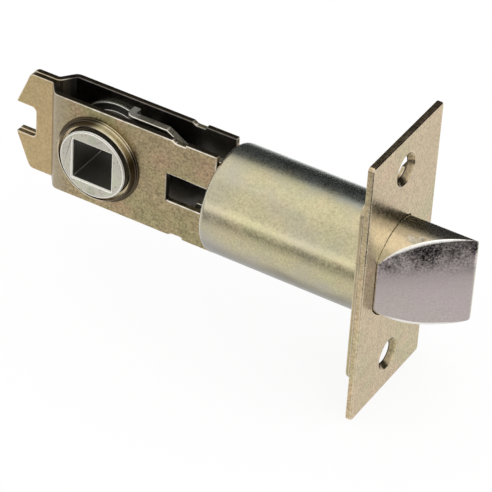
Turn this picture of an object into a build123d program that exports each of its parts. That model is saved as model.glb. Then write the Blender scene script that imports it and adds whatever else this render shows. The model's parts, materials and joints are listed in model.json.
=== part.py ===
from build123d import *
import math
import os

# Tubular mortice latch, millimetres. The origin is the middle of the faceplate's rear face, which
# seats in the door's edge. The backset, throw and bevel are measured from its front face.
# +X runs along the bolt, out of the door's edge, +Z along the faceplate, +Y to the far case plate.

# Door and spindle
backset = 60.0
spindle_width = 8.0
spindle_play = 0.3
fixing_reach = 19.0
running_gap = 0.15

# Faceplate and backing plate
face_width = 25.0
face_height = 55.5
face_thickness = 1.2
face_corner = 0.7
face_rim = 0.25
backing_height = 38.6
backing_thickness = 0.8
backing_corner = 2.5
screw_pitch = 41.0
screw_hole_radius = 2.25
screw_head_radius = 3.3

# Barrel
barrel_radius = 10.5
barrel_wall = 0.9
barrel_end = 33.8
barrel_lip_width = 1.0
barrel_end_round = 1.1
barrel_end_flats = 3

# Latch bolt
bolt_throw = 13.5
bolt_travel = 13.0
bolt_play = 0.15
nose_play = 0.2
nose_far_flat = 3.9
nose_near_flat = 8.0
nose_corner = 1.3
nose_tip_round = 0.7
bevel_start = 0.3
bevel_tip_flat = 0.5
bolt_rear = 6.8
pin_radius = 1.25
pin_inset = 0.45
pin_setback = 2.7

# Case plates
sheet = 1.2
case_gap = 5.7
case_edge_rise = 0.1
case_front_gap = 0.3
case_rear = 68.4
joggle_length = 2.2
bend_radius = 0.6
tail_end = 78.8
tail_straight_end = 75.8
tail_corner = 1.4
slot_length = 8.9
slot_height = 5.9
slot_corner = 0.4
notch_half = 3.3
notch_corner = 1.0
edge_nick_start = 43.5
edge_nick_end = 40.6
edge_nick_depth = 0.5
edge_nick_slope = 0.8
tongue_play = 1.1
foot_play = 0.4
foot_bend_radius = 0.8

# Follower bushes
bush_spigot_radius = 7.9
bush_foot_radius = 8.75
bush_foot_height = 0.35
bush_collar_radius = 8.2
bush_top_radius = 7.95
bush_rise = 1.65
bush_lip = 0.25
bush_recess = 1.1

# Follower
hub_radius = 7.0
hub_play = 0.08
hub_proud = 0.7
hub_rim = 0.25
square_chamfer = 0.25
flange_radius = 8.6
flange_thickness = 0.75
lobe_radius = 9.2
lobe_tip_radius = 1.1
lobe_root_radius = 2.0
lobe_thickness = 1.45
lobe_lead = 47.0

# Retractor slide
slide_sheet = 1.6
slide_offset = 0.5
slide_inset = 0.6
slide_neck_play = 0.6
slide_ramp_start = 46.3
slide_ramp_end = 42.3
slide_web = 6.5
slide_tongue_height = 9.0
slide_tongue_depth = 5.0
hook_gap = 0.45
hook_bend = 0.9

# Bolt spring and its seat
seat_thickness = 0.7
seat_width = 1.5
seat_play = 0.15
wire_radius = 0.55
spring_turns = 7
spring_closed_turns = 1
spring_closed_pitch = 1.2
spring_end_gap = 0.05
spring_play = 0.3
wire_sides = 6
turn_sides = 12

# Places worked out from the sizes above
case_half = case_gap / 2 + sheet
case_half_height = barrel_radius + case_edge_rise
barrel_bore = barrel_radius - barrel_wall
barrel_lip_radius = barrel_bore - barrel_lip_width
tongue_half = math.sqrt(barrel_lip_radius**2 - case_half**2) - tongue_play
foot_reach = barrel_bore - foot_play
bolt_radius = barrel_bore - bolt_play
hub_half = case_half + bush_rise + hub_proud
axis_back = backset - face_thickness
nose_tip = face_thickness + bolt_throw
bevel_back = face_thickness + bevel_start
screw_sink_depth = screw_head_radius - screw_hole_radius
square_width = spindle_width + spindle_play
slot_middle = axis_back - fixing_reach
notch_middle = axis_back + fixing_reach
slide_near = -slide_offset - slide_sheet / 2
slide_far = -slide_offset + slide_sheet / 2
window_half = hub_radius + running_gap + hub_play
lobe_near = slide_far + running_gap
lobe_far = lobe_near + lobe_thickness
lobe_back = axis_back - lobe_radius * math.sin(math.radians(lobe_lead)) + lobe_tip_radius
hook_inner = lobe_back + hook_gap
hook_outer = hook_inner + slide_sheet
clear_half = slot_height / 2 + 2 * running_gap
web_rear = slot_middle - slot_length / 2 - bolt_travel
foot_front = barrel_end - barrel_wall - sheet
seat_front = foot_front - seat_thickness
seat_radius = barrel_bore - seat_play
spring_radius = barrel_bore - spring_play - wire_radius
slide_top = case_half_height - slide_inset
slide_neck_top = spring_radius - wire_radius - slide_neck_play


def cross_section(x, shape):
    """Sketch set across the bolt axis at x, with its own x along Y and its own y along Z."""
    return Plane.YZ.offset(x) * shape


def side_outline(shape, low, high):
    """Sketch drawn in X and Z, made solid from low to high along Y."""
    plane = Plane((0, low, 0), x_dir=(1, 0, 0), z_dir=(0, -1, 0))
    return extrude(plane * shape, amount=low - high)


def nose_profile(extra):
    """Section of the bolt's nose: a round bar flattened on both sides."""
    radius = bolt_radius + extra
    low = -nose_near_flat - extra
    high = nose_far_flat + extra
    band = Pos((low + high) / 2, 0) * Rectangle(high - low, 2 * radius)
    profile = Circle(radius) & band
    return fillet(profile.vertices(), nose_corner + extra)


def screw_holes(radius):
    """The pair of fixing holes above and below the bolt."""
    return [Pos(0, z) * Circle(radius) for z in (screw_pitch / 2, -screw_pitch / 2)]


def make_faceplate():
    outline = RectangleRounded(face_width, face_height, face_corner)
    plate = extrude(cross_section(face_thickness, outline), amount=-face_thickness)
    plate = chamfer(plate.faces().sort_by(Axis.X)[-1].outer_wire().edges(), face_rim)
    plate -= extrude(cross_section(0, nose_profile(nose_play)), amount=face_thickness)
    for z in (screw_pitch / 2, -screw_pitch / 2):
        bore = cross_section(0, Pos(0, z) * Circle(screw_hole_radius))
        plate -= extrude(bore, amount=face_thickness)
        wide = cross_section(face_thickness, Pos(0, z) * Circle(screw_head_radius))
        narrow = cross_section(face_thickness - screw_sink_depth, Pos(0, z) * Circle(screw_hole_radius))
        plate -= loft([wide.face(), narrow.face()])
    return plate


def make_backing_plate():
    outline = RectangleRounded(face_width, backing_height, backing_corner)
    outline -= nose_profile(nose_play)
    outline -= screw_holes(screw_hole_radius)
    return extrude(cross_section(0, outline), amount=-backing_thickness)


def make_barrel():
    """Tube on the backing plate, its rear end rolled inwards to a lip."""
    rolled = []
    for step in range(barrel_end_flats + 1):
        angle = math.radians(90 * step / barrel_end_flats)
        x = -barrel_end + barrel_end_round * (1 - math.sin(angle))
        rolled.append((x, barrel_radius - barrel_end_round * (1 - math.cos(angle))))
    section = make_face(
        Polyline(
            (-backing_thickness, barrel_bore),
            (-backing_thickness, barrel_radius),
            *rolled,
            (-barrel_end, barrel_lip_radius),
            (-barrel_end + barrel_wall, barrel_lip_radius),
            (-barrel_end + barrel_wall, barrel_bore),
            close=True,
        )
    )
    return revolve(section, axis=Axis.X)


def make_latch_bolt():
    """Round slug behind the plates, flattened nose in front of them, cut by the striking bevel."""
    shoulder = -backing_thickness
    slug = extrude(cross_section(-bolt_rear, Circle(bolt_radius)), amount=bolt_rear + shoulder)
    nose = extrude(cross_section(shoulder, nose_profile(0)), amount=nose_tip - shoulder)
    past = 2 * bolt_radius
    slope = (nose_far_flat - bevel_tip_flat + nose_near_flat) / (nose_tip - bevel_back)
    bevel = make_face(
        Polyline(
            (bevel_back, -nose_near_flat),
            (nose_tip, nose_far_flat - bevel_tip_flat),
            (nose_tip + past, nose_far_flat - bevel_tip_flat + slope * past),
            (nose_tip + past, -nose_near_flat - past),
            (bevel_back - past / slope, -nose_near_flat - past),
            close=True,
        )
    )
    nose -= extrude(bevel, amount=past, both=True)
    tip_edges = nose.edges().filter_by(Axis.Z).filter_by(lambda edge: edge.center().X > nose_tip - 1e-3)
    nose = fillet(tip_edges.sort_by(Axis.Y)[0], nose_tip_round)
    bolt = slug + nose
    tongue_slot = Rectangle(slide_tongue_depth + running_gap, slide_tongue_height + 2 * running_gap)
    slot_place = Pos(-bolt_rear + (slide_tongue_depth + running_gap) / 2, 0)
    bolt -= side_outline(slot_place * tongue_slot, slide_near - running_gap, slide_far + running_gap)
    bolt -= pin_rod(bolt_radius)
    return bolt


def pin_rod(half_length):
    """Round rod across the slug, through the slide's tongue."""
    place = Pos(-bolt_rear + pin_setback, 0)
    return side_outline(place * Circle(pin_radius), -half_length, half_length)


def make_bolt_pin():
    return pin_rod(bolt_radius - pin_inset)


def plate_section():
    """Folded sheet seen along Z: foot, flat side, joggle and tail."""
    middle = case_gap / 2 + sheet / 2
    foot_line = -foot_front - sheet / 2
    path = FilletPolyline(
        (foot_line, -foot_reach),
        (foot_line, -middle),
        (-case_rear, -middle),
        (-case_rear - joggle_length, -sheet / 2),
        (-tail_end, -sheet / 2),
        radius=[foot_bend_radius + sheet / 2, bend_radius + sheet / 2, bend_radius + sheet / 2],
    )
    return trace(path, line_width=sheet)


def plate_outline():
    """Side view of the plate behind the barrel, with edge nicks and the notched tail."""
    top = case_half_height
    front = -barrel_end - case_front_gap
    nick = top - edge_nick_depth
    upper = [
        (front, top),
        (-edge_nick_end, top),
        (-edge_nick_end, nick),
        (-edge_nick_start + edge_nick_slope, nick),
        (-edge_nick_start, top),
        (-tail_straight_end, top),
        (-tail_end, notch_half),
    ]
    lower = [(x, -z) for x, z in reversed(upper)]
    outline = make_face(Polyline(*upper, *lower, close=True))
    corners = outline.vertices().filter_by(lambda v: abs(v.X + tail_straight_end) < 1e-3)
    outline = fillet(corners, tail_corner)
    outline -= Pos(-notch_middle, 0) * RectangleRounded(2 * notch_half, 2 * notch_half, notch_corner)
    slot = RectangleRounded(slot_length, slot_height, slot_corner)
    outline -= Pos(-slot_middle, 0) * slot
    outline -= Pos(-axis_back, 0) * Circle(bush_spigot_radius)
    return outline


def make_near_case_plate():
    blank = extrude(plate_section(), amount=case_half_height, both=True)
    body = side_outline(plate_outline(), -case_half, 0)
    strip_end = barrel_end + case_front_gap
    root = Circle(foot_reach) & Rectangle(2 * foot_reach, 2 * tongue_half)
    tongue = extrude(cross_section(-strip_end, root), amount=strip_end - foot_front)
    return blank & (body + tongue)


def make_near_bush():
    """Turned ring seated in the plate's round hole, with a tapered, recessed collar outside."""
    inner = hub_radius + hub_play
    face = -case_half
    section = make_face(
        Polyline(
            (inner, face + sheet),
            (bush_spigot_radius, face + sheet),
            (bush_spigot_radius, face),
            (bush_foot_radius, face),
            (bush_foot_radius, face - bush_foot_height),
            (bush_collar_radius, face - bush_foot_height),
            (bush_top_radius, face - bush_rise),
            (bush_top_radius - bush_lip, face - bush_rise),
            (bush_top_radius - bush_lip, face - bush_rise + bush_recess),
            (inner, face - bush_rise + bush_recess),
            close=True,
        )
    )
    return Pos(-axis_back, 0, 0) * revolve(section, axis=Axis.Y)


def make_follower():
    """Cast hub with a square bore, a keeper flange and two lobes that draw the slide back."""
    place = Pos(-axis_back, 0)
    hub = side_outline(place * Circle(hub_radius), -hub_half, hub_half)
    hub = chamfer(hub.edges().filter_by(GeomType.CIRCLE), hub_rim)
    flange_far = lobe_far + running_gap + flange_thickness
    flange = side_outline(place * Circle(flange_radius), flange_far - flange_thickness, flange_far)
    lobes = []
    for sign in (1, -1):
        lead = math.radians(lobe_lead)
        tip = Pos(lobe_radius * math.sin(lead), sign * lobe_radius * math.cos(lead)) * Circle(lobe_tip_radius)
        arm = make_hull(Circle(lobe_root_radius).edges() + tip.edges())
        lobes.append(side_outline(place * arm, lobe_near, lobe_far))
    follower = hub + flange + lobes
    square = side_outline(place * Rectangle(square_width, square_width), -hub_half, hub_half)
    follower -= square
    for side in (-1, 1):
        end = side * hub_half
        wide = square_width + 2 * square_chamfer
        mouth = Plane((-axis_back, end, 0), x_dir=(1, 0, 0), z_dir=(0, -side, 0)) * Rectangle(wide, wide)
        follower -= extrude(mouth, amount=square_chamfer, taper=45)
    return follower


def make_retractor_slide():
    """Flat fork round the follower, its ends folded over as the hooks that the lobes push."""
    turn_middle = axis_back - bolt_travel
    tongue_front = bolt_rear - slide_tongue_depth
    neck_end = web_rear - slide_web
    half_tongue = slide_tongue_height / 2
    upper = [
        (-tongue_front, half_tongue),
        (-neck_end, half_tongue),
        (-neck_end, slide_neck_top),
        (-slide_ramp_end, slide_neck_top),
        (-slide_ramp_start, slide_top),
        (-hook_outer, slide_top),
    ]
    lower = [(x, -z) for x, z in reversed(upper)]
    fork = make_face(Polyline(*upper, *lower, close=True))
    fork -= Pos(-turn_middle, 0) * Circle(window_half)
    reach = hook_outer - turn_middle
    fork -= Pos(-turn_middle - reach / 2, 0) * Rectangle(reach, 2 * window_half)
    run = turn_middle - web_rear
    fork -= Pos(-web_rear - run / 2, 0) * Rectangle(run, 2 * clear_half)
    slide = side_outline(fork, slide_near, slide_far)
    for sign in (1, -1):
        height = slide_top - window_half
        place = Pos(-(hook_inner + hook_outer) / 2, sign * (slide_top + window_half) / 2)
        slide += side_outline(place * Rectangle(slide_sheet, height), slide_far, lobe_far)
    bends = slide.edges().filter_by(Axis.Z).filter_by(
        lambda edge: abs(edge.center().X + hook_outer) < 1e-3 and abs(edge.center().Y - slide_near) < 1e-3
    )
    slide = fillet(bends, hook_bend + slide_sheet / 2)
    slide -= pin_rod(bolt_radius)
    return slide


def make_spring_seat():
    """Flat washer across the feet of the case plates."""
    ring = Circle(seat_radius) - Circle(seat_radius - seat_width)
    return extrude(cross_section(-foot_front, ring), amount=seat_thickness)


def make_bolt_spring():
    """Coil with closed ends between the bolt and its seat, drawn at its fitted length."""
    length = seat_front - bolt_rear - 2 * wire_radius - 2 * spring_end_gap
    closed = spring_closed_turns * spring_closed_pitch
    open_turns = spring_turns - 2 * spring_closed_turns
    points = []
    for step in range(spring_turns * turn_sides + 1):
        turn = step / turn_sides
        opened = min(max(turn - spring_closed_turns, 0), open_turns)
        along = (turn - opened) * spring_closed_pitch + opened * (length - 2 * closed) / open_turns
        angle = 2 * math.pi * turn
        x = -seat_front + wire_radius + spring_end_gap + along
        points.append((x, spring_radius * math.cos(angle), spring_radius * math.sin(angle)))
    path = Polyline(*points)
    section = Plane(path @ 0, z_dir=path % 0) * RegularPolygon(wire_radius, wire_sides)
    return sweep(section, path=path, transition=Transition.RIGHT)


near_plate = make_near_case_plate()
near_bush = make_near_bush()
pieces = {
    "faceplate": make_faceplate(),
    "backing_plate": make_backing_plate(),
    "barrel": make_barrel(),
    "near_case_plate": near_plate,
    "far_case_plate": mirror(near_plate, about=Plane.XZ),
    "near_follower_bush": near_bush,
    "far_follower_bush": mirror(near_bush, about=Plane.XZ),
    "follower": make_follower(),
    "retractor_slide": make_retractor_slide(),
    "latch_bolt": make_latch_bolt(),
    "bolt_pin": make_bolt_pin(),
    "spring_seat": make_spring_seat(),
    "bolt_spring": make_bolt_spring(),
}

os.makedirs("parts", exist_ok=True)
for name, piece in pieces.items():
    export_step(piece, f"parts/{name}.step")
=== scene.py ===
"""Dresses the tubular latch: eased edges, a wound spring, plated finishes and a pale studio."""

import json
import math

import bmesh
import bpy
import numpy
from bpy.props import FloatProperty, FloatVectorProperty, IntProperty, PointerProperty
from mathutils import Matrix, Vector

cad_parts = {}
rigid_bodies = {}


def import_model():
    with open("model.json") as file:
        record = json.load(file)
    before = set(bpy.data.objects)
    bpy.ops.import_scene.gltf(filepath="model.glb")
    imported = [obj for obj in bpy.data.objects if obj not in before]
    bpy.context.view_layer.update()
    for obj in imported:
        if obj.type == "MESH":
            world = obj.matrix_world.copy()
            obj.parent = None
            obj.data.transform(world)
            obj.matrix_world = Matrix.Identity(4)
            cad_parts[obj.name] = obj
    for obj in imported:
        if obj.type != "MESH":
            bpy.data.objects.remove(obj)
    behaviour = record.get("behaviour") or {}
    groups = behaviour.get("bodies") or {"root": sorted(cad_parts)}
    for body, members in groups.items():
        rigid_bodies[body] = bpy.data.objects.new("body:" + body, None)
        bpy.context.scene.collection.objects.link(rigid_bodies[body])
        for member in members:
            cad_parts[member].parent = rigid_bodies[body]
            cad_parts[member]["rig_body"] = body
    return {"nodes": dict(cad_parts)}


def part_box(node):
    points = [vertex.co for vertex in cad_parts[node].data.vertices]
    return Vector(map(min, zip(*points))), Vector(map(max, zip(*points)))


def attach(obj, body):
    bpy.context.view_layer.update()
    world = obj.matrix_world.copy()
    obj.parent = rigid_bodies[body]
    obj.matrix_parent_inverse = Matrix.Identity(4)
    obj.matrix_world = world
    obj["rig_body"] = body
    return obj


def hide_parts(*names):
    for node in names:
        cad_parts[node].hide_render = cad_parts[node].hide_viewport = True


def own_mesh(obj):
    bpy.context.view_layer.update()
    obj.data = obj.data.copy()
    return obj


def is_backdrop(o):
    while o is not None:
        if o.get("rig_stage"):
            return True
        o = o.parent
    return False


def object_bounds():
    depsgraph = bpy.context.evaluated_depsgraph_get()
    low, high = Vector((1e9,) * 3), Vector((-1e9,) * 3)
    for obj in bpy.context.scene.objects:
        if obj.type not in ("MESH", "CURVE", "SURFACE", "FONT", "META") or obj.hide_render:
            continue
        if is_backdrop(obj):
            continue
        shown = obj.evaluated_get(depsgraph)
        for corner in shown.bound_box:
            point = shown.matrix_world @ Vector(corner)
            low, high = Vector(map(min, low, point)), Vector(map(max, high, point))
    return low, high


bl_info = {
    "name": "Tubular Latch Dresser",
    "version": (1, 0, 0),
    "blender": (4, 5, 0),
    "location": "View3D > Sidebar > Latch",
    "description": "Eases, finishes and lights the pieces of a tubular door latch",
    "category": "Object",
}

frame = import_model()
cad_low, cad_high = (Vector(corner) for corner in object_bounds())

# Places on the pieces, from the frame, in metres
axis_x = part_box("follower")[0].x / 2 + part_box("follower")[1].x / 2
seat_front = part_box("spring_seat")[1].x
barrel_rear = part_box("barrel")[0].x
bolt_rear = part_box("latch_bolt")[0].x
slide_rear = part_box("retractor_slide")[0].x
face_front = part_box("faceplate")[1].x
plate_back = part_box("backing_plate")[0].x
case_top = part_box("near_case_plate")[1].z

# Directions out of the bolt's bevel and out of the barrel's far top
bevel_way = Vector((0.6536, -0.7568, 0.0))
far_top = Vector((0.0, 0.534, 0.845))

# Meshes: distances in metres that count as none, and angles in radians
weld = 2e-6
touch = 1e-5
flat_under = math.radians(0.6)
level_under = math.radians(0.3)
crease_over = math.radians(42)


def length(name, words, default):
    """A size in metres that a user may change."""
    return FloatProperty(name=name, description=words, default=default, unit="LENGTH", precision=5)


def colour(name, words, default):
    """A linear colour that a user may change."""
    return FloatVectorProperty(
        name=name, description=words, default=default, subtype="COLOR", size=3, min=0, max=1
    )


def share(name, words, default):
    """A share from 0 to 1 that a user may change."""
    return FloatProperty(name=name, description=words, default=default, subtype="FACTOR", min=0, max=1)


def power(name, words, default):
    """A light's power in watts that a user may change."""
    return FloatProperty(name=name, description=words, default=default, unit="POWER")


class LatchShape(bpy.types.PropertyGroup):
    """Edge easing of each kind of piece, places that the finishes follow, and the spring's winding."""

    sheet_edge: length("Sheet edge", "Easing of the folded plates' sheared edges", 0.00020)
    face_edge: length("Faceplate edge", "Easing of the faceplate's rim and holes", 0.00010)
    turned_edge: length("Turned edge", "Easing of the bushes, barrel and seat", 0.00010)
    cast_edge: length("Cast edge", "Easing of the bolt's cast edges", 0.00012)
    bevel_round: length("Bevel rounding", "Widest rounding beside the bolt's bevel", 0.00060)
    hub_edge: length("Hub edge", "Easing of the follower's edges", 0.00012)
    edge_steps: IntProperty(name="Edge steps", description="Facets across each eased edge", default=3, min=1)
    hub_radius: length("Hub radius", "Radius of the follower's hub", 0.0070)
    square_half: length("Square half", "Half the width of the spindle's square", 0.0041)
    slot_reach: length("Slot reach", "From the follower's axis to the near end of the plates' slot", 0.01455)
    slot_half: length("Slot half", "Half the height of the plates' slot", 0.00295)
    screw_reach: length("Screw reach", "From the bolt's axis to each screw hole", 0.0205)
    screw_radius: length("Screw radius", "Radius of the screw holes", 0.00225)
    wire_radius: length("Wire radius", "Radius of the spring's wire", 0.00055)
    coil_radius: length("Coil radius", "Radius of the wire's centreline", 0.00875)
    coil_turns: FloatProperty(name="Turns", description="Turns of the spring, end to end", default=7)
    closed_turns: FloatProperty(name="Closed turns", description="Turns closed up at each end", default=1)
    closed_pitch: length("Closed pitch", "Rise of a closed turn", 0.0012)


class LatchFinish(bpy.types.PropertyGroup):
    """Base colours of the metals."""

    case_gold: colour("Case gold", "Yellow film on the case plates", (0.35, 0.275, 0.16))
    face_gold: colour("Faceplate gold", "Yellow film on the faceplate", (0.52, 0.41, 0.255))
    backing_gold: colour("Backing gold", "Yellow film on the backing plate", (0.46, 0.37, 0.22))
    barrel_gold: colour("Barrel gold", "Pale yellow film on the barrel", (0.528, 0.473, 0.294))
    bush_gold: colour("Bush gold", "Yellow film on the follower's bushes", (0.50, 0.41, 0.26))
    # Bare zinc where the eased edges are worn, and also a painted highlight along them.
    bare_and_highlit_rim: colour("Bare rim", "Bare zinc on the plates' worn edges", (0.90, 0.84, 0.74))
    bolt_cream: colour("Bolt cream", "Warm plate on the bolt's round sides", (0.82, 0.78, 0.66))
    bolt_grey: colour("Bolt grey", "Polished plate on the bolt's bevel", (0.45, 0.40, 0.38))
    # A painted highlight, on the rounding by the bolt's bevel and on the barrel's lip.
    highlight_rim: colour("Bright rim", "Bright plate by the bevel and on the barrel's lip", (0.92, 0.90, 0.85))
    zinc_grey: colour("Zinc grey", "Bare cast zinc of the follower", (0.565, 0.53, 0.462))
    # A painted highlight on the follower's edges.
    zinc_highlight: colour("Zinc rim", "Bright zinc on the follower's edges", (0.90, 0.88, 0.82))
    slide_grey: colour("Slide grey", "Dull plate on the slide", (0.44, 0.41, 0.32))
    # A painted highlight on the slide's hooks.
    hook_shine: colour("Hook shine", "Metal rubbed bright on the slide's hooks", (0.80, 0.77, 0.70))
    wire_grey: colour("Wire grey", "Drawn steel of the spring and pin", (0.36, 0.35, 0.33))


class LatchStage(bpy.types.PropertyGroup):
    """The studio around the latch."""

    floor_size: length("Floor size", "Side of the pale floor", 6.0)
    floor_colour: colour("Floor colour", "Pale paper of the floor", (0.95, 0.95, 0.95))
    floor_glow: share("Floor glow", "Share of the floor that shows plain white", 0.88)
    key_power: power("Key power", "Power of the overhead softbox", 0.24)
    strip_power: power("Strip power", "Power of the low front strip", 0.50)
    top_power: power("Top power", "Power of the softbox above the bolt", 0.45)
    card_lift: length("Card lift", "Height of the cards over the floor", 0.001)
    back_dark: share("Back flag", "Brightness of the dark panels behind and beside the latch", 0.03)
    front_dark: share("Front flag", "Brightness of the card in front", 0.36)
    lens: FloatProperty(
        name="Lens", description="Focal length on a 36 mm sensor", default=234.15, subtype="DISTANCE_CAMERA"
    )


class Field:
    """A value in a node tree, with arithmetic that adds Math nodes."""

    def __init__(self, wiring, socket):
        self.wiring = wiring
        self.socket = socket

    def math(self, operation, first, second=0.0):
        """Result of a Math node."""
        node = self.wiring.node("ShaderNodeMath", {"operation": operation}, {0: first, 1: second})
        return Field(self.wiring, node.outputs[0])

    def __add__(self, other):
        return self.math("ADD", self, other)

    __radd__ = __add__

    def __sub__(self, other):
        return self.math("SUBTRACT", self, other)

    def __rsub__(self, other):
        return self.math("SUBTRACT", other, self)

    def __mul__(self, other):
        return self.math("MULTIPLY", self, other)

    __rmul__ = __mul__

    def __truediv__(self, other):
        return self.math("DIVIDE", self, other)

    def __rtruediv__(self, other):
        return self.math("DIVIDE", other, self)

    def size(self):
        """Value without its sign."""
        return self.math("ABSOLUTE", self)

    def hypot(self, other):
        """Long side of a right-angled triangle on two sides."""
        return self.math("SQRT", self * self + other * other)

    def larger(self, other):
        """The larger of two values."""
        return self.math("MAXIMUM", self, other)

    def smaller(self, other):
        """The smaller of two values."""
        return self.math("MINIMUM", self, other)

    def above(self, low, high):
        """Smooth step from 0 at low to 1 at high."""
        limits = {0: self, 1: low, 2: high, 3: 0.0, 4: 1.0}
        node = self.wiring.node("ShaderNodeMapRange", {"interpolation_type": "SMOOTHSTEP"}, limits)
        return Field(self.wiring, node.outputs[0])

    def past(self, place, blur):
        """Smooth step from 0 to 1 across a place, softened by blur to either side."""
        return self.above(place - blur, place + blur)


class Wiring:
    """A node tree that is built by code."""

    def __init__(self, tree):
        self.tree = tree

    def node(self, kind, settings=None, values=None):
        """Adds a node, sets its options, then its sockets by name or number."""
        made = self.tree.nodes.new(kind)
        for key, value in (settings or {}).items():
            setattr(made, key, value)
        for key, value in (values or {}).items():
            source = value.socket if isinstance(value, Field) else value
            if isinstance(source, bpy.types.NodeSocket):
                self.tree.links.new(source, made.inputs[key])
            else:
                made.inputs[key].default_value = source
        return made


class Surface(Wiring):
    """A procedural material on object coordinates."""

    def __init__(self, name):
        self.material = bpy.data.materials.new(name)
        self.material.use_nodes = True
        super().__init__(self.material.node_tree)
        self.tree.nodes.clear()
        self.place = self.node("ShaderNodeTexCoord").outputs["Object"]

    def show(self, shader):
        """Sends a shader to the material's output."""
        self.node("ShaderNodeOutputMaterial", {}, {"Surface": shader.outputs[0]})

    def noise(self, scale, detail=2.0, stretch=None):
        """Soft noise of the given cycles per metre, drawn out along an axis by stretch."""
        place = self.place
        if stretch:
            place = self.node("ShaderNodeMapping", {}, {"Vector": place, "Scale": stretch}).outputs[0]
        values = {"Vector": place, "Scale": scale, "Detail": detail}
        made = self.node("ShaderNodeTexNoise", {"noise_dimensions": "3D"}, values)
        return Field(self, made.outputs[0])

    def along(self, direction):
        """Distance from the origin along a direction, in metres."""
        made = self.node("ShaderNodeVectorMath", {"operation": "DOT_PRODUCT"}, {0: self.place, 1: direction})
        return Field(self, made.outputs["Value"])

    def away(self, point):
        """Distance from a point, in metres."""
        made = self.node("ShaderNodeVectorMath", {"operation": "DISTANCE"}, {0: self.place, 1: point})
        return Field(self, made.outputs["Value"])

    def seen(self):
        """1 for camera, glossy and transmission rays, 0 for the rest."""
        rays = self.node("ShaderNodeLightPath").outputs
        kinds = ("Camera", "Glossy", "Transmission")
        camera, glossy, through = (Field(self, rays[f"Is {kind} Ray"]) for kind in kinds)
        return camera.larger(glossy).larger(through)

    def mix(self, part, first, second):
        """Colour from first to second by a part from 0 to 1."""
        settings = {"data_type": "RGBA", "clamp_factor": True}
        made = self.node("ShaderNodeMix", settings, {0: part, 6: tint(first), 7: tint(second)})
        return Field(self, made.outputs[2])

    def shade(self, shown, value):
        """Colour times a value."""
        made = self.node("ShaderNodeVectorMath", {"operation": "SCALE"}, {0: shown, "Scale": value})
        return Field(self, made.outputs[0])


class Finish(Surface):
    """A metal made by one shader."""

    def __init__(self, name):
        super().__init__(name)
        self.metal = self.node("ShaderNodeBsdfPrincipled")
        self.show(self.metal)

    def rim(self):
        """1 on eased edges, 0 elsewhere."""
        made = self.node("ShaderNodeAttribute", {"attribute_name": "rim"})
        return Field(self, made.outputs["Fac"])

    def set(self, **sockets):
        """Sets the metal's sockets, with underscores for spaces."""
        for key, value in sockets.items():
            socket = self.metal.inputs[key.replace("_", " ")]
            if isinstance(value, Field):
                self.tree.links.new(value.socket, socket)
            else:
                socket.default_value = value

    def bump(self, height, strength, depth):
        """Roughens the surface by a height, at most depth metres deep."""
        made = self.node("ShaderNodeBump", {}, {"Height": height, "Strength": strength, "Distance": depth})
        self.tree.links.new(made.outputs[0], self.metal.inputs["Normal"])


def tint(value):
    """A colour with alpha, or a field left as it is."""
    return value if isinstance(value, Field) else (*value, 1.0)


def toned(base, red, green, blue):
    """A base colour with each channel scaled."""
    return tuple(min(c * k, 1.0) for c, k in zip(base, (red, green, blue)))


def plated(name, base, roughness, drawn, film=0.5, grain=0.5, rim_wear_and_glint=0.5, extra=None):
    """Zinc plate under a yellow film, with green and pink clouds, grain, drawn lines, and rims lightened
    partly as bare worn zinc and partly as a painted highlight.
    """
    finish = Finish(name)
    cloud = finish.noise(95, 3)
    drift = finish.noise(160, 2, (1.0, 0.6, 1.3))
    mottle = finish.noise(620, 3)
    speck = finish.noise(2300, 2)
    lines = finish.noise(1, 2, drawn)
    green = finish.mix(cloud.above(0.42, 0.68) * film, base, toned(base, 0.88, 1.02, 0.90))
    pink = finish.mix(drift.above(0.50, 0.72) * film, green, toned(base, 1.08, 0.96, 1.02))
    value = 1 + (speck - 0.5) * grain + (mottle - 0.5) * (0.3 * grain) + (lines - 0.5) * 0.2
    # Eased edges turn towards bare zinc: partly wear, partly a painted highlight.
    bare_and_glint = finish.rim() * (rim_wear_and_glint * 0.5 + mottle.above(0.38, 0.62) * (rim_wear_and_glint * 0.5))
    worn_and_glinting = finish.mix(bare_and_glint, finish.shade(pink, value), bpy.context.scene.latch_finish.bare_and_highlit_rim)
    finish.set(
        Base_Color=extra(finish, worn_and_glinting) if extra else worn_and_glinting,
        Metallic=1.0,
        Roughness=roughness + (speck - 0.5) * 0.16 + (mottle - 0.5) * 0.16 + (cloud - 0.5) * 0.1,
    )
    finish.bump(speck * 0.6 + mottle * 0.4 + lines * 0.5, strength=0.25, depth=0.00003)
    return finish.material


def case_film_and_shade(base, slot_rear, slot_half):
    """Warmer tails, paler film beside them, and painted shade on the inner faces, the sheared top edges and
    the slot's end wall.
    """
    tail_fold, fold_end, pale_end = axis_x - 0.0118, axis_x - 0.0105, axis_x - 0.0075
    inner_face = 0.00296
    top_edge = case_top - 0.00004

    def over(finish, shown):
        along = finish.along((1, 0, 0))
        depth = finish.along((0, 1, 0)).size()
        up = finish.along((0, 0, 1)).size()
        tail = 1 - along.past(tail_fold, 0.0006)
        # Painted shade on the plates' inner faces, inside the case.
        inner = (1 - depth.past(inner_face, 0.00009)) * along.past(fold_end, 0.0007)
        pale = (1 - along.past(pale_end, 0.0020)) * (1 - tail)
        silver = finish.mix(pale * 0.55, shown, toned(base, 1.15, 1.27, 1.68))
        warm = finish.mix(tail * 0.50, finish.shade(silver, 1 + tail * 0.30), toned(base, 1.38, 1.27, 1.06))
        inside_shaded = finish.mix(inner * 0.9, warm, toned(base, 0.09, 0.12, 0.24))
        # Painted shade on the slot's end wall and on the plates' top edge faces.
        slot_end = along.past(slot_rear - 0.00015, 0.00005) - along.past(slot_rear + 0.00025, 0.00005)
        slot_wall = slot_end * (1 - up.past(slot_half + 0.0001, 0.0001))
        sheared = up.past(top_edge, 0.00002).larger(slot_wall)
        return finish.mix(sheared * 0.85, inside_shaded, toned(base, 0.10, 0.10, 0.12))

    return over


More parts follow.
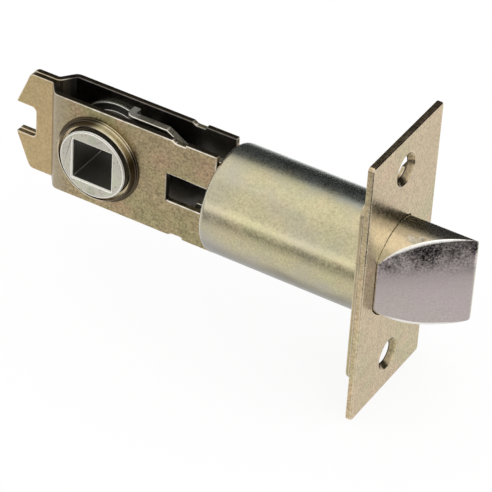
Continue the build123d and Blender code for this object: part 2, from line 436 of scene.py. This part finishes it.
def barrel_film_and_painted_light(base, bright):
    """Silver clouds where the film is thin and silver towards the underside and rolled end, a painted
    highlight along the far top, painted shade along the near underside and a painted highlight on the lip.
    """
    lip_end, roll_end = barrel_rear + 0.00055, barrel_rear + 0.0045
    thin_under, shade_under, sheen_over = -0.0030, -0.0087, 0.0085

    def over(finish, shown):
        cloud = finish.noise(150, 3, (0.7, 1.0, 1.0))
        along = finish.along((1, 0, 0))
        across = finish.along(far_top) + (cloud - 0.5) * 0.003
        low = 1 - finish.along((0, 0, 1)).past(thin_under, 0.0035)
        end = 1 - along.past(roll_end, 0.0035)
        thin = cloud.above(0.42, 0.66) * 0.45 + low * 0.8 + end * 0.5
        silver = finish.mix(thin * 0.85, shown, toned(base, 0.80, 0.84, 1.18))
        # Painted shade along the barrel's near underside.
        underside_shade = finish.shade(silver, 0.45 + across.past(shade_under, 0.0017) * 0.55)
        # Painted silver highlight along the barrel's far top.
        top_sheen = finish.mix(across.past(sheen_over, 0.0013) * 0.85, underside_shade, toned(base, 1.22, 1.50, 2.35))
        # Painted highlight on the barrel's lip.
        lip = 1 - along.past(lip_end, 0.00025)
        return finish.mix(lip * 0.6, top_sheen, bright)

    return over


def screw_hole_shade(base, reach, radius):
    """Painted shade in the faceplate's two countersunk holes."""

    def over(finish, shown):
        apart = finish.along((0, 0, 1)).size() - reach
        from_axis = finish.along((0, 1, 0)).hypot(apart)
        bore = 1 - from_axis.past(radius + 0.00008, 0.00004)
        sink = 1 - from_axis.past(radius + 0.0007, 0.0002)
        return finish.mix(bore.larger(sink * 0.45) * 0.9, shown, toned(base, 0.10, 0.09, 0.09))

    return over


def bush_film_and_shade(base):
    """Painted brown shade on the front and upper rear of the bushes' sides."""
    side_radius = 0.007725

    def over(finish, shown):
        across = finish.along((1, 0, 0)) - axis_x
        up = finish.along((0, 0, 1))
        side = across.hypot(up).past(side_radius, 0.000075)
        front = (across * 0.94 - up * 0.34).past(0.00485, 0.00135)
        back = (up * 0.80 - across * 0.60).past(0.00635, 0.00085)
        # Painted shade on those sides.
        return finish.mix(side * front.larger(back) * 0.94, shown, toned(base, 0.10, 0.085, 0.075))

    return over


def slide_hook_highlight(shine):
    """Painted highlight where the lobes meet the slide's hooks."""
    hook_end = slide_rear + 0.0024

    def over(finish, shown):
        hook = 1 - finish.along((1, 0, 0)).past(hook_end, 0.0006)
        return finish.mix(hook * 0.8, shown, shine)

    return over


def bolt_finish(cream, grey, bright):
    """Warm plate on the bolt's sides, a grey bevel with blotches and darker grain towards its top, a painted
    highlight on the rounding between and on the eased edges, and a faint pit.
    """
    bevel_depth, upper_from = 0.0069, 0.00375
    pit_place, pit_radius = (0.0066, -0.0022, 0.0090), 0.00045
    finish = Finish("bolt_plate")
    bevel = finish.along(bevel_way).past(bevel_depth, 0.0001)
    cloud = finish.noise(140, 3)
    blot = finish.noise(330, 3)
    speck = finish.noise(2600, 2)
    lines = finish.noise(1, 2, (700, 700, 3200))
    pit = 1 - finish.away(pit_place).past(pit_radius, 0.00025)
    # Towards the bevel's top, the grain and blotches grow stronger and the colour darkens.
    upper_bevel = bevel * finish.along((0, 0, 1)).past(upper_from, 0.00275)
    sides = finish.mix(cloud.above(0.4, 0.7) * 0.5, cream, toned(cream, 0.93, 0.98, 0.9))
    face = finish.mix(cloud.above(0.35, 0.7) * 0.6, grey, toned(grey, 1.0, 0.96, 1.02))
    both = finish.mix(bevel, sides, face)
    even = 1 + (speck - 0.5) * 0.45 + (lines - 0.5) * 0.12 - pit * 0.35
    value = (even + upper_bevel * ((speck - 0.5) * 3.0 + (blot - 0.5) * 3.5 - 0.12)).larger(0.08)
    finish.set(
        # Painted highlight on the eased edges and the rounding beside the bevel.
        Base_Color=finish.mix(finish.rim() * 0.75, finish.shade(both, value), bright),
        Metallic=1.0,
        Roughness=0.22 - bevel * 0.04 + (speck - 0.5) * 0.14 + pit * 0.2,
    )
    finish.bump(speck * 0.4 + lines * 0.3 - pit * 6, strength=0.16, depth=0.00003)
    return finish.material


def cast_finish(base, bright, hub_radius, square_half):
    """Bare cast zinc: pale pitted faces with ejector marks, painted shade on the hub's sides and in the
    square bore, and a painted highlight on the eased edges.
    """
    flange_over, ejector_reach, ejector_radius = 0.00835, 0.0056, 0.000925
    finish = Finish("follower_zinc")
    flow = finish.noise(320, 4)
    pits = finish.noise(2600, 3)
    across = finish.along((1, 0, 0)) - axis_x
    up = finish.along((0, 0, 1))
    reach = across.hypot(up)
    # Painted shade in the square bore.
    bore = 1 - across.size().larger(up.size()).past(square_half + 0.000075, 0.000075)
    # Painted shade on the hub's sides, out to the flange.
    side = reach.past(hub_radius - 0.000135, 0.000085) - reach.past(flange_over, 0.0001) * 0.9
    ejector = 1 - across.hypot(up.size() - ejector_reach).past(ejector_radius, 0.000075)
    value = 1 + (flow - 0.5) * 0.35 - pits.above(0.58, 0.72) * 0.38 - ejector * 0.12
    face = finish.mix(flow.above(0.4, 0.7).larger(ejector), base, toned(base, 0.93, 1.0, 0.90))
    dark = finish.mix(bore.larger(side) * 0.9, finish.shade(face, value), toned(base, 0.24, 0.25, 0.28))
    finish.set(
        # Painted highlight on the follower's eased edges.
        Base_Color=finish.mix(finish.rim() * 0.85, dark, bright),
        Metallic=1.0,
        Roughness=0.42 + (pits - 0.5) * 0.3 - ejector * 0.1,
    )
    finish.bump(flow * 0.6 - pits.above(0.56, 0.7), strength=0.35, depth=0.00004)
    return finish.material


def rim_loop(faces):
    """Vertices round a patch of faces, in order."""
    patch = set(faces)
    border = {e for f in faces for e in f.edges if sum(link in patch for link in e.link_faces) == 1}
    start = min(border, key=lambda e: (e.verts[0].co + e.verts[1].co).x)
    loop = list(start.verts)
    border.remove(start)
    while border:
        step = next(e for e in border if loop[-1] in e.verts)
        border.remove(step)
        loop.append(step.other_vert(loop[-1]))
    return loop[:-1]


def inward_way(before, corner, after, turn):
    """Unit direction into a rim at one of its corners, seen along X, by the sign of the rim's turn."""
    pairs = ((before, corner), (corner, after))
    sides = [Vector((0, a.z - b.z, b.y - a.y)).normalized() for a, b in pairs]
    return (sides[0] + sides[1]).normalized() * math.copysign(1, turn)


def round_nose(bm, mark):
    """Rounds the bolt's striking end, most beside the bevel, and gives the shoulder's edges to keep sharp."""
    shape = bpy.context.scene.latch_shape
    narrow, wide, steps = shape.cast_edge, shape.bevel_round, 2 * shape.edge_steps + 2
    root_run, tip_run, front_lean = 0.0030, 0.0045, 0.3
    end = [f for f in bm.faces if f.normal.x > front_lean and f.calc_center_median().x > face_front]
    loop = rim_loop(end)
    corners = [vert.co.copy() for vert in loop]
    bmesh.ops.delete(bm, geom=end, context="FACES")
    levels, fronts = zip(*sorted((corner.y, corner.x) for corner in corners))
    turn = sum(a.y * b.z - b.y * a.z for a, b in zip(corners, corners[1:] + corners[:1]))
    rows, parts = [], []
    for index, corner in enumerate(corners):
        inward = inward_way(corners[index - 1], corner, corners[(index + 1) % len(corners)], turn)
        run = min((corner.y - levels[0]) / root_run, (levels[-1] - corner.y) / tip_run, 1.0)
        part = run * run * (3 - 2 * run)
        width = narrow + (wide - narrow) * part
        rise = (numpy.interp(corner.y + touch * inward.y, levels, fronts) - corner.x) / touch
        inner = corner + inward * (width / math.hypot(1, rise))
        inner.x = numpy.interp(inner.y, levels, fronts)
        outer = corner - Vector((width, 0, 0))
        loop[index].co = outer
        row = [loop[index]]
        for step in range(1, steps + 1):
            t = step / steps
            row.append(bm.verts.new(outer * (1 - t) ** 2 + corner * (2 * t * (1 - t)) + inner * t**2))
        rows.append(row)
        parts.append(part)
    for index, row in enumerate(rows):
        other = rows[index - 1]
        for step in range(steps):
            band = bm.faces.new((row[step], other[step], other[step + 1], row[step + 1]))
            band[mark] = (parts[index] + parts[index - 1]) / 2
    fill_ladder(bm, [row[-1] for row in rows])
    bmesh.ops.recalc_face_normals(bm, faces=bm.faces)
    return {e for e in bm.edges if all(abs(vert.co.x - plate_back) < touch for vert in e.verts)}


def fill_ladder(bm, loop):
    """Fills a loop with rungs from its upper to its lower half, and joins those that are level."""
    upper, lower = (
        sorted((vert for vert in loop if (vert.co.z > 0) == above), key=lambda vert: (vert.co.y, vert.co.x))
        for above in (True, False)
    )
    rungs = []
    while len(upper) > 1 or len(lower) > 1:
        climb = len(lower) == 1 or (len(upper) > 1 and upper[1].co.y <= lower[1].co.y)
        tip = upper[1] if climb else lower[1]
        rungs.extend(bm.faces.new((upper[0], tip, lower[0])).edges)
        (upper if climb else lower).pop(0)
    inside = [e for e in set(rungs) if len(e.link_faces) == 2]
    bmesh.ops.dissolve_limit(bm, angle_limit=level_under, verts=[], edges=inside)


def round_edges(bm, mark, edge, limit, kept):
    """Rounds and marks the edges that turn by more than a limit, apart from those to keep."""
    sharp = [e for e in bm.edges if e not in kept and e.is_manifold and e.calc_face_angle() > limit]
    rounded = bmesh.ops.bevel(
        bm,
        geom=sharp,
        offset=edge,
        offset_type="OFFSET",
        segments=bpy.context.scene.latch_shape.edge_steps,
        profile=0.5,
        affect="EDGES",
        clamp_overlap=False,
        miter_outer="ARC",
    )
    for face in rounded["faces"]:
        face[mark] = 1.0


def shade_smooth(bm):
    """Shades all faces smooth, with a crease where two of them meet sharply."""
    bm.normal_update()
    for face in bm.faces:
        face.smooth = True
    for crease in bm.edges:
        crease.smooth = crease.calc_face_angle(math.pi) < crease_over


def eased(node, piece, edge, finish, sharp_over=26.0, first=None):
    """Puts a copy of a node, with any first change and its sharp edges rounded, in the node's place."""
    source = frame["nodes"][node]
    mesh = source.data.copy()
    mesh.name = piece
    mesh.materials.clear()
    bm = bmesh.new()
    bm.from_mesh(mesh)
    mark = bm.faces.layers.float.new("rim")
    bmesh.ops.remove_doubles(bm, verts=bm.verts, dist=weld)
    bmesh.ops.dissolve_limit(bm, angle_limit=flat_under, verts=bm.verts, edges=bm.edges)
    kept = first(bm, mark) if first else set()
    round_edges(bm, mark, edge, math.radians(sharp_over), kept)
    shade_smooth(bm)
    bm.to_mesh(mesh)
    bm.free()
    mesh.materials.append(finish)
    made = bpy.data.objects.new(piece, mesh)
    bpy.context.scene.collection.objects.link(made)
    normals = made.modifiers.new("Even normals", "WEIGHTED_NORMAL")
    normals.keep_sharp = True
    settle(made)
    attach(made, source["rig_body"])
    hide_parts(node)


def settle(made):
    """Turns a piece's modifiers into plain mesh."""
    bpy.context.view_layer.update()
    ready = made.evaluated_get(bpy.context.evaluated_depsgraph_get())
    mesh = bpy.data.meshes.new_from_object(ready)
    mesh.name = made.name
    made.modifiers.clear()
    made.data = mesh


def spring_tree(finish):
    """Node tree that winds a round wire into a coil with closed ends along X."""
    turn_steps, wire_sides = 48, 14
    names = ("Length", "Wire Radius", "Coil Radius", "Turns", "Closed Turns", "Closed Pitch", "Start")
    tree = bpy.data.node_groups.new("Bolt spring winding", "GeometryNodeTree")
    tree.is_modifier = True
    for name in names:
        tree.interface.new_socket(name, in_out="INPUT", socket_type="NodeSocketFloat")
    tree.interface.new_socket("Geometry", in_out="OUTPUT", socket_type="NodeSocketGeometry")
    winding = Wiring(tree)
    node = winding.node
    given = node("NodeGroupInput").outputs
    span, wire_radius, coil_radius, turns, closed_turns, closed_pitch, start = (
        Field(winding, given[name]) for name in names
    )
    coil = node(
        "GeometryNodeCurveSpiral",
        {},
        {
            "Resolution": turn_steps,
            "Rotations": turns,
            "Start Radius": coil_radius,
            "End Radius": coil_radius,
            "Height": 0.0,
            "Reverse": True,
        },
    )
    turn = Field(winding, node("GeometryNodeSplineParameter").outputs["Factor"]) * turns
    open_turns = turns - closed_turns * 2
    opened = (turn - closed_turns).larger(0.0).smaller(open_turns)
    pitch = (span - closed_turns * closed_pitch * 2) / open_turns
    rise = (turn - opened) * closed_pitch + opened * pitch
    offset = node("ShaderNodeCombineXYZ", {}, {"Z": rise + start})
    raised = node("GeometryNodeSetPosition", {}, {"Geometry": coil.outputs[0], "Offset": offset.outputs[0]})
    z_to_x = Matrix(((0, 0, 1), (1, 0, 0), (0, 1, 0))).to_euler()
    laid = node("GeometryNodeTransform", {}, {"Geometry": raised.outputs[0], "Rotation": z_to_x})
    ring = node("GeometryNodeCurvePrimitiveCircle", {}, {"Resolution": wire_sides, "Radius": wire_radius})
    swept = {"Curve": laid.outputs[0], "Profile Curve": ring.outputs[0], "Fill Caps": True}
    wire = node("GeometryNodeCurveToMesh", {}, swept)
    smooth = node("GeometryNodeSetShadeSmooth", {}, {"Geometry": wire.outputs[0]})
    real = node("GeometryNodeRealizeInstances", {}, {"Geometry": smooth.outputs[0]})
    clad = node("GeometryNodeSetMaterial", {}, {"Geometry": real.outputs[0], "Material": finish})
    node("NodeGroupOutput", {}, {0: clad.outputs[0]})
    return tree


class LATCH_OT_case(bpy.types.Operator):
    """Ease and finish the folded case plates and their bushes"""

    bl_idname = "latch.dress_case"
    bl_label = "Case Plates"

    def execute(self, context):
        shape, colours = context.scene.latch_shape, context.scene.latch_finish
        case = plated(
            "case_plate_film",
            colours.case_gold,
            roughness=0.34,
            drawn=(260, 1400, 2400),
            film=0.8,
            grain=1.7,
            rim_wear_and_glint=0.9,
            extra=case_film_and_shade(colours.case_gold, axis_x + shape.slot_reach, shape.slot_half),
        )
        bush = plated(
            "bush_film_and_shade",
            colours.bush_gold,
            roughness=0.26,
            drawn=(900, 5000, 900),
            extra=bush_film_and_shade(colours.bush_gold),
        )
        for side in ("near", "far"):
            eased(f"{side}_case_plate", f"{side}_folded_plate", shape.sheet_edge, case)
            eased(f"{side}_follower_bush", f"{side}_bush_ring", shape.turned_edge, bush)
        return {"FINISHED"}


class LATCH_OT_faceplate(bpy.types.Operator):
    """Ease and finish the faceplate and the backing plate behind it"""

    bl_idname = "latch.dress_faceplate"
    bl_label = "Faceplate"

    def execute(self, context):
        shape, colours = context.scene.latch_shape, context.scene.latch_finish
        drawn = (1500, 2600, 300)
        face = plated(
            "faceplate_film",
            colours.face_gold,
            roughness=0.25,
            drawn=drawn,
            film=0.6,
            grain=1.3,
            rim_wear_and_glint=0.3,
            extra=screw_hole_shade(colours.face_gold, shape.screw_reach, shape.screw_radius),
        )
        backing = plated("backing_film", colours.backing_gold, roughness=0.36, drawn=drawn)
        eased("faceplate", "face_plate", shape.face_edge, face)
        eased("backing_plate", "back_plate", shape.sheet_edge, backing)
        return {"FINISHED"}


class LATCH_OT_barrel(bpy.types.Operator):
    """Ease and finish the round barrel"""

    bl_idname = "latch.dress_barrel"
    bl_label = "Barrel"

    def execute(self, context):
        shape, colours = context.scene.latch_shape, context.scene.latch_finish
        barrel = plated(
            "barrel_film_and_painted_light",
            colours.barrel_gold,
            roughness=0.28,
            drawn=(160, 2600, 2600),
            film=0.35,
            grain=0.8,
            rim_wear_and_glint=0.3,
            extra=barrel_film_and_painted_light(colours.barrel_gold, colours.highlight_rim),
        )
        eased("barrel", "barrel_tube", shape.turned_edge, barrel, sharp_over=40.0)
        return {"FINISHED"}


class LATCH_OT_bolt(bpy.types.Operator):
    """Ease and finish the bevelled bolt and its pin"""

    bl_idname = "latch.dress_bolt"
    bl_label = "Latch Bolt"

    def execute(self, context):
        shape, colours = context.scene.latch_shape, context.scene.latch_finish
        plate = bolt_finish(colours.bolt_cream, colours.bolt_grey, colours.highlight_rim)
        eased("latch_bolt", "bevel_bolt", shape.cast_edge, plate, first=round_nose)
        steel = plated("pin_steel_film", colours.wire_grey, roughness=0.28, drawn=(3000, 300, 3000), film=0.2)
        eased("bolt_pin", "cross_pin", shape.turned_edge, steel)
        return {"FINISHED"}


class LATCH_OT_follower(bpy.types.Operator):
    """Ease and finish the cast follower"""

    bl_idname = "latch.dress_follower"
    bl_label = "Follower"

    def execute(self, context):
        shape, colours = context.scene.latch_shape, context.scene.latch_finish
        zinc = cast_finish(colours.zinc_grey, colours.zinc_highlight, shape.hub_radius, shape.square_half)
        eased("follower", "cast_follower", shape.hub_edge, zinc)
        return {"FINISHED"}


class LATCH_OT_slide(bpy.types.Operator):
    """Ease and finish the retractor slide and the spring's seat"""

    bl_idname = "latch.dress_slide"
    bl_label = "Retractor Slide"

    def execute(self, context):
        shape, colours = context.scene.latch_shape, context.scene.latch_finish
        steel = plated(
            "slide_steel_film",
            colours.slide_grey,
            roughness=0.34,
            drawn=(240, 2000, 2600),
            film=0.3,
            grain=0.8,
            rim_wear_and_glint=0.9,
            extra=slide_hook_highlight(colours.hook_shine),
        )
        eased("retractor_slide", "fork_slide", shape.sheet_edge, steel)
        eased("spring_seat", "seat_washer", shape.turned_edge, steel)
        return {"FINISHED"}


class LATCH_OT_spring(bpy.types.Operator):
    """Wind the bolt spring between its seat and the bolt"""

    bl_idname = "latch.wind_spring"
    bl_label = "Bolt Spring"

    def execute(self, context):
        shape, colours = context.scene.latch_shape, context.scene.latch_finish
        drawn = (1500, 1500, 1500)
        wire = plated("spring_wire_film", colours.wire_grey, roughness=0.30, drawn=drawn, film=0.2)
        tree = spring_tree(wire)
        span = bolt_rear - seat_front
        sizes = {
            "Length": span - 2 * shape.wire_radius,
            "Wire Radius": shape.wire_radius,
            "Coil Radius": shape.coil_radius,
            "Turns": shape.coil_turns,
            "Closed Turns": shape.closed_turns,
            "Closed Pitch": shape.closed_pitch,
            "Start": seat_front + shape.wire_radius,
        }
        made = bpy.data.objects.new("wound_spring", bpy.data.meshes.new("wound_spring"))
        context.scene.collection.objects.link(made)
        winding = made.modifiers.new("Winding", "NODES")
        winding.node_group = tree
        for item in tree.interface.items_tree:
            if item.in_out == "INPUT":
                winding[item.identifier] = sizes[item.name]
        settle(made)
        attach(made, "case")
        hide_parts("bolt_spring")
        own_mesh(made)
        return {"FINISHED"}


class LATCH_OT_stage(bpy.types.Operator):
    """Lay the pale floor and set the lights, the world and the camera"""

    bl_idname = "latch.set_stage"
    bl_label = "Stage"

    def execute(self, context):
        stage = context.scene.latch_stage
        lay_floor(stage)
        light_world(context.scene)
        hang_lights(stage)
        stand_flags(stage)
        place_camera(context.scene, stage.lens)
        context.scene.view_settings.view_transform = "Standard"
        return {"FINISHED"}


def lay_floor(stage):
    """Pale paper floor under the faceplate's lower end, which keeps a soft shadow."""
    paper = Surface("white_paper")
    matt = paper.node("ShaderNodeBsdfDiffuse", {}, {"Color": tint(stage.floor_colour)})
    glow = paper.node("ShaderNodeEmission")
    part = paper.seen() * stage.floor_glow
    paper.show(paper.node("ShaderNodeMixShader", {}, {0: part, 1: matt.outputs[0], 2: glow.outputs[0]}))
    half = stage.floor_size / 2
    sheet("paper_floor", Vector((0, 0, cad_low.z)), Vector((half, 0, 0)), Vector((0, half, 0)), paper)


def light_world(scene):
    """Even white studio air."""
    world = bpy.data.worlds.new("studio_air")
    world.use_nodes = True
    air = world.node_tree.nodes["Background"]
    air.inputs["Color"].default_value = (1, 1, 1, 1)
    air.inputs["Strength"].default_value = 1.0
    scene.world = world


def hang_lights(stage):
    """Softboxes overhead and above the bolt, and a low strip in front."""
    softbox("Key softbox", (-0.40, -0.05, 0.92), distance=0.75, size=(0.60, 0.60), watts=stage.key_power)
    softbox("Front strip", (-0.38, -0.92, 0.08), distance=0.90, size=(1.10, 0.20), watts=stage.strip_power)
    softbox("Top softbox", (0.42, -0.15, 0.90), distance=0.70, size=(0.45, 0.45), watts=stage.top_power)


def stand_flags(stage):
    """A dark panel behind the latch, and cards on the floor behind it, in front of it and by the bevel."""
    low = cad_low.z + stage.card_lift
    dark, grey = stage.back_dark, stage.front_dark
    flag("back_flag", (-0.15, 0.5, 0.46), (1.1, 0, 0), (0, 0, 0.48), fade_from=0.06, dark=dark)
    flag("back_card", (-0.35, 0.3, low), (0.4, 0, 0), (0, -0.2, 0), fade_from=0.10, dark=dark)
    flag("front_card", (-0.20, -0.322, low), (0.35, 0, 0), (0, 0.278, 0), fade_from=0.216, dark=grey)
    bevel_along, bevel_across = (0.068, 0.059, 0), (-0.0406, 0.0470, 0)
    flag("bevel_card", (0.0674, -0.0780, low), bevel_along, bevel_across, fade_from=0.053, dark=dark)


def sheet(name, middle, along, across, surface):
    """Flat rectangle round its middle, with half its length along one way and half its width across it."""
    mesh = bpy.data.meshes.new(name)
    signs = ((-1, -1), (1, -1), (1, 1), (-1, 1))
    mesh.from_pydata([middle + along * a + across * b for a, b in signs], [], [(0, 1, 2, 3)])
    mesh.materials.append(surface.material)
    made = bpy.data.objects.new(name, mesh)
    bpy.context.scene.collection.objects.link(made)
    made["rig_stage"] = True
    return made


def flag(name, middle, along, across, fade_from, dark):
    """Panel seen in reflections alone: dark, and fading to white along its width past fade_from."""
    middle, along, across = Vector(middle), Vector(along), Vector(across)
    cloth = Surface(name)
    way = across.normalized()
    level = cloth.along(way) - middle.dot(way)
    shown = cloth.mix(level.above(fade_from, across.length), (dark, dark, dark), (1, 1, 1))
    cloth.show(cloth.node("ShaderNodeEmission", {}, {"Color": shown}))
    made = sheet(name, middle, along, across, cloth)
    made.visible_camera = made.visible_diffuse = made.visible_shadow = False


def softbox(name, direction, distance, size, watts):
    """Rectangular light that faces the latch's middle."""
    lamp = bpy.data.lights.new(name, "AREA")
    lamp.shape = "RECTANGLE"
    lamp.size, lamp.size_y = size
    lamp.energy = watts
    made = bpy.data.objects.new(name, lamp)
    away = Vector(direction).normalized()
    made.location = (cad_low + cad_high) / 2 + away * distance
    made.rotation_euler = away.to_track_quat("Z", "Y").to_euler()
    bpy.context.scene.collection.objects.link(made)


def place_camera(scene, lens):
    """Long lens from the front right, above the bolt."""
    camera = bpy.data.cameras.new("Latch camera")
    camera.lens = lens
    camera.sensor_width = 36.0
    made = bpy.data.objects.new("Latch camera", camera)
    place = Vector((0.19272, -0.40392, 0.34291))
    right = Vector((0.85556, 0.51513, 0.05149))
    up = Vector((-0.34872, 0.49993, 0.79276))
    back = Vector((0.38263, -0.69621, 0.60736))
    turn = Matrix((right, up, back)).transposed().to_4x4()
    made.matrix_world = Matrix.Translation(place) @ turn
    scene.collection.objects.link(made)
    scene.camera = made


class LATCH_PT_pieces(bpy.types.Panel):
    """Lists the latch's pieces and the sizes and colours behind them"""

    bl_idname = "LATCH_PT_pieces"
    bl_label = "Tubular Latch"
    bl_space_type = "VIEW_3D"
    bl_region_type = "UI"
    bl_category = "Latch"

    def draw(self, context):
        for operator in operators:
            self.layout.operator(operator.bl_idname)
        for group in (context.scene.latch_shape, context.scene.latch_finish, context.scene.latch_stage):
            for name in group.bl_rna.properties.keys():
                if name not in ("rna_type", "name"):
                    self.layout.prop(group, name)


groups = (LatchShape, LatchFinish, LatchStage)
operators = (
    LATCH_OT_case,
    LATCH_OT_faceplate,
    LATCH_OT_barrel,
    LATCH_OT_bolt,
    LATCH_OT_follower,
    LATCH_OT_slide,
    LATCH_OT_spring,
    LATCH_OT_stage,
)
classes = (*groups, *operators, LATCH_PT_pieces)


def register():
    """Registers the classes and gives each scene its settings."""
    for cls in classes:
        bpy.utils.register_class(cls)
    bpy.types.Scene.latch_shape = PointerProperty(type=LatchShape)
    bpy.types.Scene.latch_finish = PointerProperty(type=LatchFinish)
    bpy.types.Scene.latch_stage = PointerProperty(type=LatchStage)


def unregister():
    """Takes back what register gave."""
    del bpy.types.Scene.latch_stage
    del bpy.types.Scene.latch_finish
    del bpy.types.Scene.latch_shape
    for cls in reversed(classes):
        bpy.utils.unregister_class(cls)


def main():
    """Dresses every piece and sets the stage."""
    register()
    for operator in operators:
        family, name = operator.bl_idname.split(".")
        getattr(getattr(bpy.ops, family), name)()


if __name__ == "__main__":
    main()
